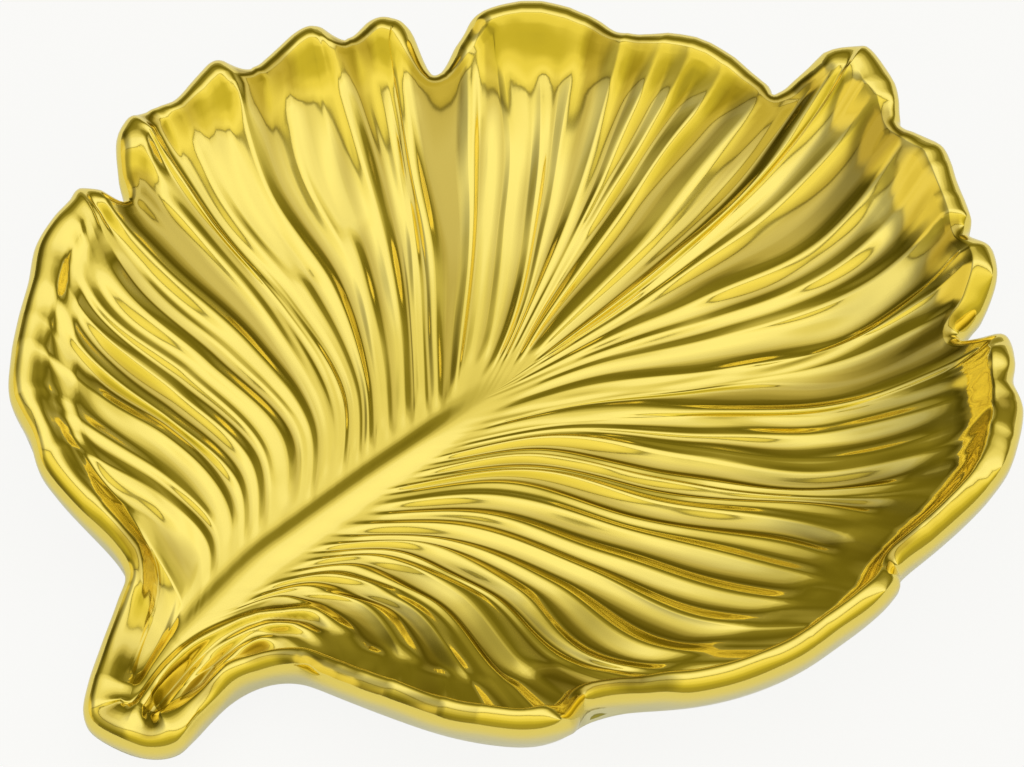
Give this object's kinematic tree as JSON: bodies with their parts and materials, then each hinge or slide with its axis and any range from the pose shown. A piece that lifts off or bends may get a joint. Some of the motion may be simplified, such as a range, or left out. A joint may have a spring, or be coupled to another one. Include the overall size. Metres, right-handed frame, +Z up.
{
  "type": "soap dish",
  "caption": "Shallow leaf-shaped soap dish with raised veins, a ruffled rolled lip, a short open stem and soft bumper pads under a flat foot.",
  "frame": {"origin": "middle of the outline seen from above, on the table under the pads", "axes": "+Y from the stem to the top lobe of the leaf, +Z up out of the dish, +X to the right seen from above"},
  "size_m": [0.1338, 0.1559, 0.0291],
  "materials": {
    "leaf_dish": "mirror gold lustre",
    "bumper_pad_1": "soft, clear",
    "bumper_pad_2": "soft, clear",
    "bumper_pad_3": "soft, clear",
    "bumper_pad_4": "soft, clear"
  },
  "bodies": {
    "root": {"leaf_dish": "leaf_dish", "bumper_pad_1": "bumper_pad_1", "bumper_pad_2": "bumper_pad_2", "bumper_pad_3": "bumper_pad_3", "bumper_pad_4": "bumper_pad_4"}
  },
  "joints": []
}
